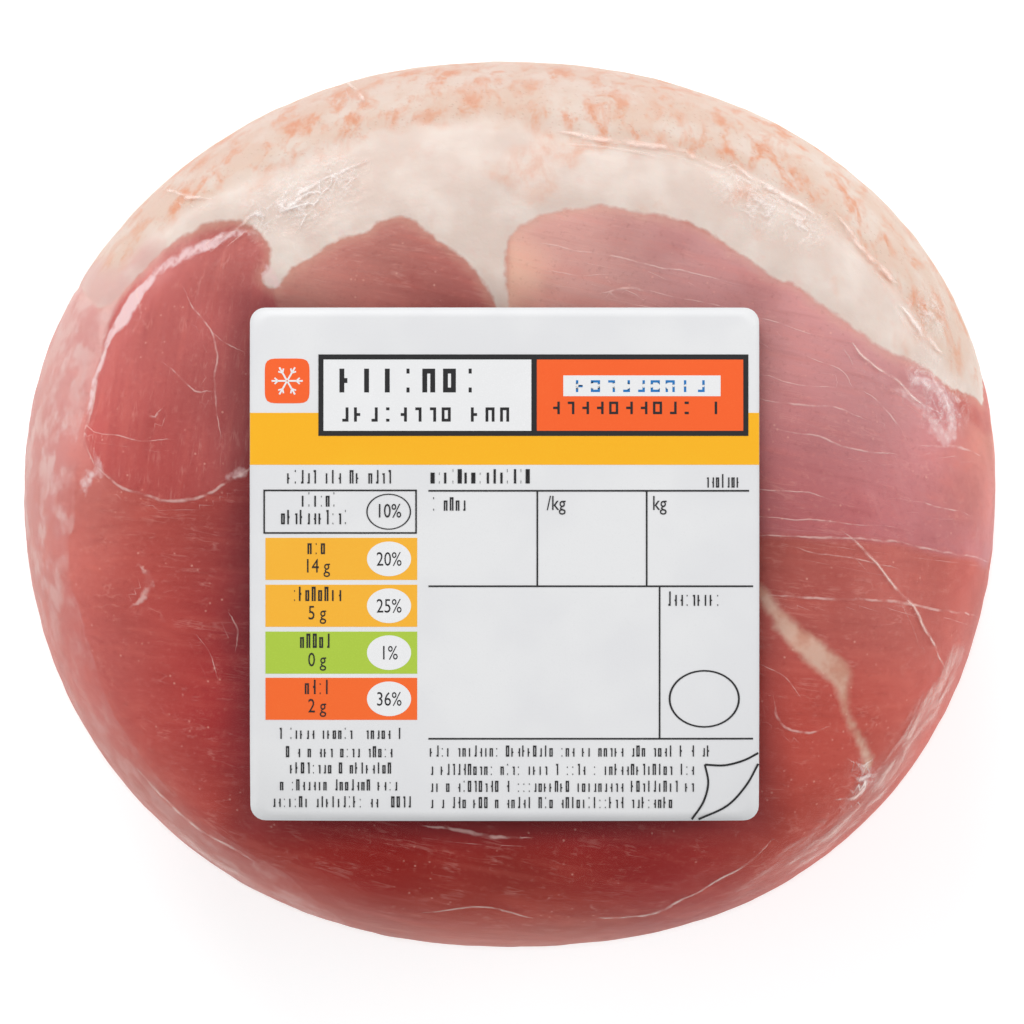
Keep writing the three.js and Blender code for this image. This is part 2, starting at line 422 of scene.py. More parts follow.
# Line where the cut face folds over to the rind.
RIND_EDGE = (
    (-200, 116), (-120, 69.6), (-84, 48.7), (-65, 37.7), (-60.5, 40), (-54, 43.5), (-47, 46.2),
    (-42, 48), (-35, 50), (-24.6, 53.6), (-20.3, 56.2), (-13, 56.6), (-6, 57.4), (0, 57), (10, 54.6),
    (19.7, 53), (31.4, 50.5), (39, 47), (46.5, 43.2), (53.8, 36.6), (60, 30.6), (65, 25), (67.6, 21.8),
    (70.4, 21.2), (76, 22.6), (120, 35.2), (200, 58.6),
)
RIND_OUTLINE = RIND_EDGE + ((200, 200), (-200, 200))

EYE_MUSCLE = (
    (-39, 41.5), (-44.5, 41), (-49.5, 39), (-54, 36.5), (-58.5, 34), (-61.5, 30), (-62, 24), (-62.6, 16),
    (-63, 10), (-61.5, 5.8), (-58.5, 3.1), (-54.6, 1.3), (-49.8, 0.6), (-45.5, 1.2), (-41.5, 3.1),
    (-38, 6), (-34, 12), (-33, 22), (-35.4, 32), (-35.5, 38),
)
ROUND_MUSCLE = (
    (1, 42.5), (8.5, 44.5), (14, 44.7), (20.5, 43.5), (35, 37), (45.5, 30.5), (57, 23), (66, 19),
    (76, 14), (120, 22), (180, 33), (180, -22), (120, -14.5), (84, -9.9), (66, -7.6), (58, -6),
    (50, -5.2), (36.7, -4.7), (20, -4), (4, 5),
    (-2, 18), (-0.5, 30), (-0.6, 37),
)

# Tints of each muscle: x, y, reach and colour. The dark purple tints beside the label's left edge and the
# deep red ones just below its lower edge are partly the lean's own colour and partly a painted shadow of
# the label. The round muscle's pale mauve tints are partly its own colour and partly a painted soft
# reflection of the film.
EYE_TINTS = (
    (-45, 38, 5, (182, 102, 97)), (-54, 36, 1.8, (208, 146, 142)), (-48.6, 38.4, 1.2, (204, 138, 134)),
    (-56, 24, 6, (193, 104, 100)), (-44, 24, 7, (181, 96, 93)), (-52, 12, 7, (190, 90, 86)),
    (-41, 12, 6, (158, 84, 82)), (-52, 4, 5, (183, 80, 76)),
)
ROUND_TINTS = (
    (1, 34.5, 2.8, (217, 174, 150)), (10, 37, 8, (207, 156, 147)), (26, 36, 8, (203, 147, 145)),
    (40, 24, 8, (201, 143, 141)), (55, 17, 8, (203, 148, 148)), (42, 8, 9, (191, 117, 119)),
    (60, 4, 8, (197, 121, 123)),
    (44, -3, 6, (179, 97, 99)), (70, 4, 4, (205, 123, 112)), (71.5, 10, 3, (212, 134, 114)),
)
LOWER_TINTS = (
    (-66, -4, 7, (199, 113, 104)), (-64, 31, 3, (228, 192, 186)), (-55, 36.4, 1.8, (210, 150, 146)),
    (-71, 24, 5, (214, 158, 152)), (-71, 8, 5, (204, 136, 130)), (-52, -6, 8, (186, 82, 74)),
    (-41, -8, 6, (139, 56, 58)), (-41, -19, 4, (122, 44, 50)), (-31, 29, 3, (200, 142, 128)),
    (-40, -46, 5, (168, 66, 60)), (-50, -26, 9, (178, 56, 53)), (-60, -24, 7, (206, 112, 105)),
    (-41, -32, 6, (148, 50, 54)),
    (-26, -52, 10, (142, 26, 24)), (0, -52, 10, (132, 18, 20)), (24, -53, 9, (155, 44, 44)),
    (40, -46, 9, (184, 76, 66)), (58, -36, 8, (206, 96, 84)), (46, -34, 8, (194, 84, 74)),
    (42, -12, 7, (170, 86, 78)), (58, -16, 9, (195, 108, 100)), (70, -14, 6, (197, 97, 87)),
    (-20, 36, 8, (189, 126, 116)), (-12, 30, 7, (163, 87, 83)), (0, 30, 5, (175, 109, 103)),
    (0, -67, 10, (195, 90, 76)), (-58, -42, 8, (198, 98, 88)), (54, -50, 10, (204, 98, 84)),
    (-34, -62, 8, (182, 80, 70)),
)

# Fine white lines in the lean: points and half width. The two sets keep crossing lines apart.
VEINS_A = (
    (((-60.8, 5), (-58.5, 3.1), (-54.6, 1.3), (-49.8, 0.6), (-45.5, 1.2), (-41.5, 3.1), (-38, 5.5)), 0.28),
    (((-48.2, 31), (-47.2, 29.2), (-45.5, 26.8), (-44, 24.7), (-43.2, 21.8), (-43.8, 19), (-43.6, 15),
      (-42.8, 11)), 0.16),
    (((-53.6, 13.1), (-52.8, 12.7), (-51.9, 13.6)), 0.3),
    (((4.4, 38.3), (11.6, 37.1), (19, 35.7), (26, 34.2), (33, 32.6)), 0.14),
    (((21, 31.2), (27.8, 29.8), (36.7, 27.6), (44, 25.2)), 0.12),
    (((37, 15.3), (41.5, 14.7), (47, 14.4), (52, 12.6)), 0.16),
    (((39.6, 11), (46.4, 9.7), (50.4, 8.1), (56, 7.4)), 0.18),
    (((61.5, 8.9), (65.5, 8.6), (69.6, 7.6)), 0.22),
    (((36.7, -4.7), (44, -4.9), (50, -5), (58, -5.8), (66, -7.3), (72, -8.6)), 0.2),
    (((39, -13.7), (48, -14.1), (55, -14.2), (62, -15.5), (70, -16.8)), 0.26),
    (((38.9, -29.4), (39.5, -31.8), (41, -33.4), (43.5, -33.8), (46.4, -33)), 0.22),
    (((-12.7, -47.6), (-8, -48.4), (-3, -49.2), (2, -49.2)), 0.3),
    (((36.5, 2.2), (43, 1.7), (48, 0.2)), 0.12),
    (((57, 0.6), (62, -0.2), (68, -1.6)), 0.14),
)
VEINS_B = (
    (((-60.6, 24.5), (-62, 20), (-62.8, 14), (-63, 9.5), (-62, 6.5)), 0.22),
    (((-51.3, 20.8), (-49.5, 19.2), (-48.3, 17.9), (-46.4, 16.3), (-44.6, 16.4)), 0.16),
    (((-62.3, 11), (-58, 10), (-54.6, 9.4), (-50.5, 9.5)), 0.12),
    (((14.4, 31.2), (16.6, 31.8), (19.5, 31.4)), 0.24),
    (((-55.9, 32.3), (-55.9, 30.8), (-55.5, 28.6)), 0.3),
    (((-43.4, 24.6), (-41.6, 23.4), (-40.4, 22.8)), 0.12),
    (((15, 30), (24, 28.6), (32, 26.2), (38, 23.4)), 0.1),
    (((37.6, 18.8), (42, 17.6), (46.8, 17.2)), 0.12),
    (((37, -1.8), (46, -2.6), (56, -3.6)), 0.12),
    (((41, -6.6), (48.2, -7.6), (56.4, -9.4)), 0.14),
    (((36.6, -23.6), (40, -25.4), (42, -27.6)), 0.12),
    (((-54.4, -9.8), (-53.4, -11.4), (-54.2, -13.6), (-55.4, -14.6)), 0.6),
    (((-46, -20), (-44.4, -22), (-43.6, -25)), 0.1),
    (((-41.4, -16.5), (-40.4, -18.5), (-40.6, -20.6)), 0.14),
    (((52.4, 16.2), (56.2, 13), (58, 10.4)), 0.14),
    (((44.5, 21.5), (48.5, 19.4), (50.2, 17.4)), 0.1),
    (((6, 34.2), (10.5, 33.6), (15, 33.8)), 0.1),
)

# Wide seam of fat in the lower right: points and half width.
FAT_SEAM = (
    (33, -9, 0.7), (37, -13.6, 0.8), (39.6, -17, 1.1), (42, -19.6, 1.5), (44.9, -22.3, 1.9),
    (48, -24.6, 1.7), (49, -27.2, 0.8), (49.7, -31, 0.5), (52, -35.8, 0.6), (53.4, -39.4, 0.9),
)
# Silvery membrane along the outer side of the eye muscle: points and half width.
MEMBRANE = (
    (-39, 40.5, 0.3), (-42.2, 39.9, 0.55), (-44.7, 38.9, 0.65), (-47.7, 37.4, 0.6), (-50.6, 35.8, 0.5),
    (-52.8, 34.6, 0.45), (-54.8, 32.8, 0.8), (-57, 30.8, 1.35), (-58.5, 28.3, 1.35), (-60.2, 25.9, 0.85),
    (-61.4, 23.4, 0.65), (-62, 21, 0.5), (-62.5, 18.5, 0.45), (-62.9, 16, 0.45), (-63.1, 13.6, 0.25),
)
# Inner edge of the pale skin that wraps the outer side of the joint.
VEIL_EDGE = (
    (-200, 116), (-84, 49), (-66, 37), (-60.4, 33.4), (-60.6, 29.4), (-62.6, 25), (-63.2, 20),
    (-63.6, 14), (-64.4, 5), (-64.8, -3.4), (-65.9, -5.4), (-66, -12.8),
    (-64.6, -14), (-63.8, -19.4), (-62.3, -25.3), (-60.4, -31.7),
    (-58.2, -34.9), (-54.8, -40.3), (-49.6, -45.8), (-44.4, -49.6), (-38.8, -53), (-33, -58), (-32, -72),
    (-44, -96), (-60, -140),
)
VEIL_OUTLINE = VEIL_EDGE + ((-200, -160),)

# White tufts of fat: points and half width.
TUFTS = (
    ((-63.4, 1.4, 0.35), (-62.8, 3.6, 0.7), (-61.6, 4.6, 0.8), (-60.4, 4.6, 0.5)),
    ((-61.8, 4.6, 0.6), (-61.2, 6, 0.55), (-61.6, 7.8, 0.2)),
    ((-36.4, 35.4, 0.3), (-36, 33.8, 0.9), (-34.6, 32.6, 0.7)), ((-41.6, 3.6, 0.4), (-39.8, 4.6, 0.8)),
    ((-25.2, 40, 0.2), (-23.8, 40.6, 0.4)),
    ((59.6, 18.6, 0.5), (62.4, 18, 1), (65, 16.6, 1.3), (67, 13.8, 1.4), (67, 11, 1.2), (64.8, 9.8, 1),
     (63, 11.8, 0.9)),
    ((57.4, 17, 0.3), (60, 15.4, 0.6), (62, 13.6, 0.6)),
)

# Orange stains in the fat: middle and reach.
FAT_PATCHES = ((3, 49.4, 4), (7.6, 52, 2.6), (-37, 47.6, 1.6), (34.6, 46, 1.6), (60, 26, 2))

# Pink places at the thin end of the fat: middle and reach.
FAT_FLUSHES = ((-61, 33.6, 4.4), (-55.4, 37, 2.2), (-67, 34, 4))

# Depths of the dips in the meat.
EDGE_DIP, FOLD_DIP, SEAM_DIP, MEMBRANE_DIP, LABEL_DIP = 0.22, 0.35, 0.2, 0.7, 1.2


def ribbon_depth(points, ribbon):
    """How far inside a ribbon of changing width a point lies, negative outside it."""
    line = smooth_line(ribbon)
    depth = np.full(len(points), -1e9)
    for a, b in zip(line, line[1:]):
        run = b[:2] - a[:2]
        away = points - a[:2]
        t = np.clip(away @ run / (run @ run), 0, 1)
        width = a[2] + (b[2] - a[2]) * t
        depth = np.maximum(depth, width - np.hypot(*(away - t[:, None] * run).T))
    return depth


def blot_depth(points, blots):
    """How far inside the nearest of some round spots a point lies."""
    return np.max([reach - np.hypot(points[:, 0] - x, points[:, 1] - y) for x, y, reach in blots], axis=0)


def label_distance(points):
    """Distance outside the label's outline, negative under it."""
    past = np.abs(points - LABEL_PLACE) - [LABEL_WIDTH / 2, LABEL_LENGTH / 2]
    return np.hypot(*np.maximum(past, 0).T) + np.minimum(past.max(1), 0)


def relief(skin, fat_edge, rind_edge):
    """Height of the meat's lumps, seams and folds, shared by the meat and the film on it."""
    p = skin.point
    facing = smooth_step(0.2, 0.9, skin.normal[:, 2])
    broad = (0.15 + 0.45 * facing) * lumps(p, 24, 3) + (0.08 + 0.2 * facing) * lumps(p, 10, 4)
    seam = -EDGE_DIP * np.exp(-((fat_edge + 0.2) / 0.9) ** 2)
    fold = -FOLD_DIP * np.exp(-(rind_edge / 1.4) ** 2) * facing
    fat_seam = -SEAM_DIP * smooth_step(-2, 0.5, ribbon_depth(skin.plan, FAT_SEAM)) * skin.front
    eye_edge = -MEMBRANE_DIP * smooth_step(-3.5, 0.6, ribbon_depth(skin.plan, MEMBRANE)) * skin.front
    under_label = smooth_step(6, -2, label_distance(skin.plan)) * skin.front
    height = broad + seam + fold + fat_seam + eye_edge
    height = height * (1 - under_label) - LABEL_DIP * under_label
    settled = smooth_step(1.5, 9, p[:, 2] - FILM_OUTSIDE)
    return height * settled


def grain(points, plan, eye, round_muscle):
    """Coordinates along and across the muscle fibres, and through them."""
    def turned(degrees):
        a = math.radians(degrees)
        along = plan[:, 0] * math.cos(a) + plan[:, 1] * math.sin(a)
        across = -plan[:, 0] * math.sin(a) + plan[:, 1] * math.cos(a)
        return np.stack([along, across, points[:, 2]], 1)
    lower = turned(-4)
    lower[:, 1] += 5 * np.sin(plan[:, 0] / 34)
    return np.where((eye > 0)[:, None], turned(84),
                    np.where((round_muscle > 0)[:, None], turned(-13), lower))


def make_joint():
    skin = Skin(*PORK_GRID)
    plan = skin.plan
    wander = np.stack([lumps(skin.point, 3.2, 11), lumps(skin.point, 3.2, 12)], 1)
    sway = np.stack([lumps(skin.point, 14, 13), lumps(skin.point, 14, 14)], 1)
    lowered = smooth_step(SHOULDER, SHOULDER - 30, skin.point[:, 2])[:, None]
    here = skin.unrolled + 0.3 * wander + 7 * lowered * sway
    fat_edge = region_distance(here, FAT_OUTLINE)
    rind_edge = region_distance(here, RIND_OUTLINE)
    eye = region_distance(here, EYE_MUSCLE)
    round_muscle = region_distance(here, ROUND_MUSCLE)
    height = relief(skin, fat_edge, rind_edge) + 0.1 * lumps(skin.point, 2.4, 5)
    joint = put("pork", skin.raised(height), skin.faces())
    lower = blend_tints(plan, LOWER_TINTS)
    tone = lower + (blend_tints(plan, EYE_TINTS) - lower) * smooth_step(-0.5, 0.5, eye)[:, None]
    tone = tone + (blend_tints(plan, ROUND_TINTS) - tone) * smooth_step(-0.8, 0.8, round_muscle)[:, None]
    tone *= 1 + 0.12 * lumps(skin.point, 9, 15)[:, None] + 0.1 * lumps(skin.point, 20, 16)[:, None]
    keep(joint, "tone", np.hstack([tone, np.ones((len(tone), 1))]))
    keep(joint, "grain", grain(skin.point, plan, eye, round_muscle))
    keep(joint, "fat_edge", fat_edge)
    keep(joint, "rind_edge", rind_edge)
    keep(joint, "fat_seam", ribbon_depth(here, FAT_SEAM))
    keep(joint, "membrane", ribbon_depth(here, MEMBRANE))
    keep(joint, "tufts", np.max([ribbon_depth(here, tuft) for tuft in TUFTS], axis=0))
    keep(joint, "veil", region_distance(here, VEIL_OUTLINE))
    keep(joint, "patch", blot_depth(plan, FAT_PATCHES))
    keep(joint, "flush", blot_depth(plan, FAT_FLUSHES))
    keep(joint, "pale", smooth_step(-30, 6, plan[:, 1]))
    # Painted rim shade: within 9 mm of the outline, high on the flank and fading out towards the right, the
    # meat is greyed and darkened.
    inward = outline_radius(skin.angle) - np.hypot(*plan.T)
    keep(joint, "edge", smooth_step(9, 0, inward) * smooth_step(0, 30, skin.point[:, 2])
         * smooth_step(50, 10, plan[:, 0]))
    # Painted shadow of the label on the meat: darker within a few millimetres of its outline, strongest
    # along its left and lower edges and weaker towards its upper right.
    from_label = plan - LABEL_PLACE
    lit_side = smooth_step(-40, 10, from_label[:, 1]) * smooth_step(-34, -20, from_label[:, 0])
    near_label = smooth_step(6, -1, label_distance(plan)) * skin.front
    keep(joint, "label_shade", near_label * (1 - 0.75 * lit_side))
    for name, veins in (("veins_a", VEINS_A), ("veins_b", VEINS_B)):
        signed, presence = stroke_field(plan + 0.35 * wander, veins)
        keep(joint, name, signed)
        keep(joint, name + "_here", presence * smooth_step(0.2, 0.5, skin.latitude))
    return joint


def lean_colour(f, here, along, fibre):
    """Fibres, bundles, dark pools, marbling, grit and flecks over the muscles' tints."""
    bundle = f.noise(f.stretched(along, (0.05, 0.5, 0.25)), 1, 2)
    pool = f.noise(here, 9, 2)
    colour = f.layered(
        f.attribute("tone", 0), ((130, 40, 40), fibre.step(0.5, 0.8) * 0.16),
        ((238, 142, 126), fibre.step(0.5, 0.2) * 0.1), ((232, 128, 112), bundle.step(0.5, 0.75) * 0.12),
        ((150, 30, 32), pool.step(0.55, 0.8) * 0.16))
    for size, share in ((1, 0.16), (2.2, 0.14)):
        web = f.noise(f.stretched(along, (0.05, 0.4, 0.3)), 1 / size, 3, 0.6, 0.3)
        marbling = (1 - abs(web - 0.5) * 34).step(0, 1) * f.noise(here, 4 / size, 2).step(0.5, 0.66)
        colour = f.layered(colour, ((232, 176, 164), marbling * share))
    grit = f.noise(here, 0.7, 2, 0.6)
    flecks = f.cells(here, 1.6).step(0.16, 0.05) * f.noise(here, 6, 2).step(0.48, 0.6)
    return f.layered(colour, ((112, 30, 34), grit.step(0.55, 0.8) * 0.16),
                     ((236, 152, 138), grit.step(0.45, 0.2) * 0.14), ((234, 180, 164), flecks * 0.4))


def fat_colour(f, here, ragged, net):
    """Cream, with pink and yellowish clouds and orange stains."""
    flush = (f.attribute("flush") + ragged * 5).step(-3, 2)
    patch = (f.attribute("patch") + ragged * 8).step(-2, 2) * net.step(0.36, 0.64, 0.2, 1)
    cream = f.mix(ink(217, 198, 187), ink(227, 212, 202), f.noise(here, 7, 2).step(0.35, 0.7))
    return f.layered(
        cream, ((220, 166, 142), f.noise(here, 5, 4, 0.6).step(0.54, 0.8) * 0.35),
        ((222, 182, 172), f.noise(here, 2.4, 3).step(0.55, 0.8) * 0.25),
        ((206, 158, 152), flush * 0.75), ((216, 152, 122), patch * 0.5))


def rind_colour(f, here, net, pores):
    """Peach with an orange net and pores."""
    peach = f.mix(ink(212, 186, 170), ink(216, 198, 186), f.noise(here, 8, 3).step(0.42, 0.66))
    stain = net.step(0.44, 0.7) * f.noise(here, 12, 2).step(0.3, 0.62, 0.5, 0.95)
    return f.layered(peach, ((212, 142, 108), stain), ((214, 160, 140), pores * 0.22))


def veil_over(f, here, ragged, fat):
    """Colour and amount of the pale skin on the outer side."""
    along_rim = f.noise(f.stretched(here, (0.5, 0.16, 0.1)), 1, 3, 0.6)
    blotches = f.noise(here, 5, 3, 0.55)
    depth = f.attribute("veil") + ragged * 0.8
    veil = (depth.step(-0.1, 0.4) * 0.5 + depth.step(-0.5, 6) * 0.5) * (1 - fat)
    veil = veil * (along_rim.step(0.36, 0.64, 0.25, 0.8) + blotches.step(0.4, 0.64) * 0.3)
    colour = f.mix(ink(202, 134, 130), ink(214, 172, 167), blotches.step(0.42, 0.62))
    return colour, veil * f.attribute("pale").step(0, 1, 0.4, 1)


def vein_lines(f, here, ragged):
    lines = 0
    for name in ("veins_a", "veins_b"):
        line = abs(f.attribute(name) + ragged * 1.8).step(1.25, 0.2)
        lines = line * f.attribute(name + "_here") * 0.5 + lines
    return lines * f.noise(here, 2.5, 3).step(0.38, 0.62, 0.1, 1)


def pork_finish():
    f = Finish("cured pork")
    here = f.place()
    along = f.attribute("grain", 1)
    fibre = f.noise(f.stretched(along, (0.07, 0.85, 0.4)), 1, 4, 0.55)
    net = f.noise(f.stretched(here, (0.8, 0.45, 0.4)), 2.4, 5, 0.62, 0.3)
    pores = f.cells(here, 0.9).step(0.3, 0.1)
    ragged = f.noise(here, 1.6, 3) - 0.5
    ragged_wide = f.noise(here, 5, 2) - 0.5

    # Where each thing lies.
    fat_edge = f.attribute("fat_edge")
    fat = (fat_edge + ragged * 1.1).step(-0.35, 0.35)
    thin_fat = (fat_edge + ragged * 1.6).step(-2.2, 0.4)
    rind = (f.attribute("rind_edge") + ragged_wide * 5).step(-2.4, 2.4)
    seam = (f.attribute("fat_seam") + ragged * 1.3).step(-0.7, 0.8)
    silver = (f.attribute("membrane") + ragged * 1.1).step(-0.3, 0.4)
    tuft = (f.attribute("tufts") + (f.noise(here, 1.3, 3) - 0.5) * 1.8).step(-0.3, 0.5)
    lines = vein_lines(f, here, ragged)

    colour = f.layered(lean_colour(f, here, along, fibre), ((214, 172, 150), thin_fat * 0.35))
    colour = f.mix(colour, fat_colour(f, here, ragged_wide, net), fat)
    colour = f.mix(colour, rind_colour(f, here, net, pores), rind)
    seam_colour = f.mix(ink(208, 156, 134), ink(221, 186, 166), f.noise(here, 3.4, 3).step(0.36, 0.64))
    colour = f.mix(colour, seam_colour, seam * 0.85)
    colour = f.layered(colour, ((236, 208, 208), silver * 0.8))
    colour = f.mix(colour, *veil_over(f, here, ragged, fat))
    # Over the pork's own colours go a painted rim shade (the "edge" layer) and a painted shadow of the
    # label, then white tufts and veins.
    colour = f.layered(
        colour, ((190, 150, 138), f.attribute("edge") * 0.26),
        ((118, 56, 64), f.attribute("label_shade") * 0.5),
        ((228, 198, 196), tuft * f.cells(here, 1.2).step(0.1, 0.6, 0.9, 0.45)),
        ((240, 208, 200), lines.least(1)))

    fatty = f.noise(here, 1.8, 3) * fat * 0.7
    lumpy = fibre * (1 - fat) * (1 - seam) * 0.35 + fatty + lines * 0.5 + pores * rind * -0.4
    return f.end(f.surface(
        Base_Color=colour, Roughness=0.42 + f.noise(here, 2, 2) * 0.2, Normal=f.bump(lumpy, 0.25, 0.6),
        IOR=1.38, Specular_IOR_Level=0.06, Subsurface_Weight=0.12, Subsurface_Radius=(1, 0.35, 0.25),
        Subsurface_Scale=0.0025,
    ))


# ---- The film ----

# Creases in the film: points and half width. Their white lines are painted glints.
CREASES = (
    (((49.6, -4.6), (51.1, -6), (53.6, -8.4), (56.9, -12.7), (59.8, -15.6), (62.2, -20.5),
      (64.4, -24.6)), 0.2),
    (((50.5, 23.1), (51.5, 21.8), (55.5, 19), (58, 17), (60, 15.2), (63, 13.8)), 0.2),
    (((-51.7, 47), (-48.4, 45.6), (-45, 45.2)), 0.3),
    (((-44.2, 38.9), (-41.2, 40.4), (-38.2, 42.7), (-34.3, 44.2), (-29.3, 47.1), (-24.3, 49.6),
      (-22, 50.6)), 0.3),
    (((-40.2, 41.7), (-34.3, 43.2), (-27.4, 45.1)), 0.2),
    (((-31.2, 40.7), (-28.9, 44.6), (-27, 47)), 0.2),
    (((-24.5, 63), (-22.6, 61.2), (-22, 59)), 0.3),
    (((50.3, -37.9), (51.6, -38.6), (52.6, -38.2)), 0.3),
    (((50.3, -39.9), (51.6, -40.4), (53.5, -40)), 0.3),
    (((48.4, -43.4), (51, -43.4), (52.3, -41.8)), 0.35),
    (((8, 55.2), (16, 53.4), (24, 52.2), (31, 49.6)), 0.4),
    (((33, 50), (38.5, 46.6), (45, 43)), 0.4),
    (((49, 42), (52.6, 37.4), (57, 33)), 0.4),
    (((58, 29), (61, 25.6), (64, 22.6)), 0.4),
    (((-54.8, -40), (-49.6, -45.4), (-44.4, -49.1), (-41.4, -50.6), (-38.8, -52.2)), 0.2),
    (((-12.1, -60.2), (-4.3, -59.5), (3.1, -61)), 0.12),
    (((13.3, -61.3), (20.3, -61), (26.6, -58), (34.9, -53.1), (37.9, -50.2)), 0.15),
)
# Milky bands where the film is gathered and doubled: points and half width. Their white is partly the milky
# film and partly a painted reflection.
HAZE_BANDS = (
    (-66, -31.4, 0.1), (-60.6, -39.4, 0.4), (-54.6, -45.8, 0.5), (-47.4, -52, 0.5),
    (-40, -57, 0.4), (-31.6, -61.4, 0.2), (-22, -64.6, 0.1),
)
HAZE_BANDS_RIGHT = (
    (32, -59.4, 0.2), (38, -55.8, 0.8), (43.6, -51.8, 1.5), (50, -46.6, 1.9), (55.2, -41.2, 1.9),
    (59.8, -35, 1.6), (63.4, -28.8, 1.2), (66.4, -22.4, 0.4),
)
# Crumpled places in the film: middle and reach. Their white crinkles are painted glints.
CRUMPLES = ((-36, 43, 3), (-31, 45, 4), (-26, 48, 3.5), (33, 46.6, 2.6), (37.6, 43.6, 3.6), (43, 41, 3),
            (61.5, 28, 3), (64.5, 14.6, 3), (61, 18.6, 2), (52.2, -40, 1.4))
FILM_GAP = 0.42  # from the meat to the film
FILM_FOOT = 0.02  # from the floor to the film
CRUMPLE_HEIGHT = 0.25
PLEAT_HEIGHT = 0.4


def make_film():
    skin = Skin(*FILM_GRID)
    fat_edge = region_distance(skin.unrolled, FAT_OUTLINE)
    rind_edge = region_distance(skin.unrolled, RIND_OUTLINE)
    wander = np.stack([lumps(skin.point, 3, 22), lumps(skin.point, 3, 23)], 1)
    signed, presence = stroke_field(skin.plan + 0.25 * wander, CREASES)
    presence = presence * smooth_step(0.05, 0.3, skin.latitude)
    crumple = smooth_step(-2.5, 2, blot_depth(skin.plan, CRUMPLES)) * skin.front
    height = relief(skin, fat_edge, rind_edge) + FILM_GAP + pleats(skin)
    height = height + CRUMPLE_HEIGHT * crumple * lumps(skin.point, 1.6, 21)
    vertices = skin.raised(height)
    resting = skin.point[:, 2] <= FILM_OUTSIDE + 1e-6
    vertices[:, 2] = np.where(resting, FILM_FOOT, np.maximum(vertices[:, 2], FILM_FOOT))
    film = put("shrink_film", vertices, skin.faces())
    haze = np.maximum(ribbon_depth(skin.plan, HAZE_BANDS), ribbon_depth(skin.plan, HAZE_BANDS_RIGHT))
    haze = haze + NO_HAZE * smooth_step(SHOULDER - 10, SHOULDER - 30, skin.point[:, 2])
    keep(film, "haze", haze)
    keep(film, "crumple", crumple)
    keep(film, "crease", signed)
    keep(film, "crease_here", presence)
    inward = outline_radius(skin.angle) - np.hypot(*skin.plan.T)
    mean_radius = (JOINT_WIDTH + JOINT_DEPTH) / 4
    turn = np.stack([np.cos(skin.angle), np.sin(skin.angle)], 1) * mean_radius
    keep(film, "rim_place", np.column_stack([turn, np.where(skin.front, inward, skin.point[:, 2] / 3)]))
    return film


# Seal tails: middle direction, spread, and the latitudes of the root and the free edge, in degrees.
CLOSING_TAIL = (268, 46, -27, -47)
FACTORY_TAIL = (88, 52, -29, -38)
TAIL_LIFT, TAIL_PLY = 0.75, 0.3
CRIMP_PITCH, CRIMP_DEPTH = 1.15, 0.28
NO_HAZE = -9.0


def pleats(skin):
    """Gathers in the film, running up the flank from each seal tail."""
    height = 0
    for direction, spread, root, edge in (CLOSING_TAIL, FACTORY_TAIL):
        aside = np.degrees(skin.angle) - direction
        aside = (aside + 180) % 360 - 180 + 3 * lumps(skin.point, 18, 31)
        wide = smooth_step(spread / 2 + 12, spread / 2 - 6, np.abs(aside))
        latitude = np.degrees(skin.latitude)
        tall = smooth_step(25, root, latitude) * smooth_step(-75, edge, latitude)
        fold = np.abs(np.sin(np.radians(aside * 42))) * (0.6 + 0.4 * lumps(skin.point, 7, 32))
        height = height + PLEAT_HEIGHT * wide * tall * fold
    return height


def tail_points(tail, across, down, lift):
    """Points on a tail, across from -1 to 1 and down from 0 at its root to 1 at its free edge."""
    direction, spread, root, edge = tail
    reach = 0.88 + 0.12 * down - 0.1 * smooth_step(0.7, 1.06, down) ** 2
    angle = np.radians(direction + across * spread / 2 * reach)
    latitude = np.radians(root + (edge - root) * down)
    point = joint_point(angle, latitude)
    wave = 0.22 * lumps(point, 5, 41) + 0.14 * np.sin(across * 60) * (1 - down)
    return point + joint_normal(angle, latitude) * (lift + wave)[:, None]


def crimps(tail, across, down):
    """Pressed ribs in a band across a tail, from 0 to 1."""
    width = math.radians(tail[1]) * JOINT_DEPTH / 2
    band = smooth_step(0.18, 0.28, down) * smooth_step(0.6, 0.5, down)
    return band * (0.5 + 0.5 * np.sin(across * math.pi * width / CRIMP_PITCH))


def make_tail(name, tail, film):
    """One seal tail: the two films fused into one closed sheet, with a crimped band across it."""
    columns, rows = TAIL_GRID
    down, across = np.meshgrid(np.linspace(-0.06, 1, rows), np.linspace(-1, 1, columns), indexing="ij")
    across, down = across.ravel(), down.ravel()
    ribs = crimps(tail, across, down)
    ragged = 0.09 * np.sin(across * 4.3 + 1) + 0.035 * np.sin(across * 17)
    down = down + ragged * smooth_step(0.5, 1, down)
    lifts = (TAIL_LIFT, TAIL_LIFT + TAIL_PLY + CRIMP_DEPTH * ribs)
    vertices = np.vstack([tail_points(tail, across, down, lift) for lift in lifts])
    count = columns * rows
    faces = []
    for r in range(rows - 1):
        for c in range(columns - 1):
            a, b = r * columns + c, r * columns + c + 1
            faces.append((a, b, b + columns, a + columns))
            faces.append((count + a, count + a + columns, count + b + columns, count + b))
    rim = list(range(columns)) + [r * columns + columns - 1 for r in range(1, rows)]
    rim += [(rows - 1) * columns + c for c in range(columns - 2, -1, -1)]
    rim += [r * columns for r in range(rows - 2, 0, -1)]
    faces += [(b, a, a + count, b + count) for a, b in zip(rim, rim[1:] + rim[:1])]
    piece = put(name, vertices, faces)
    keep(piece, "haze", np.full(len(vertices), NO_HAZE))
    keep(piece, "crumple", np.tile(0.15 + 0.5 * ribs, 2))
    keep(piece, "rim_place", vertices)
    return finish_piece(piece, film, "clear_film")


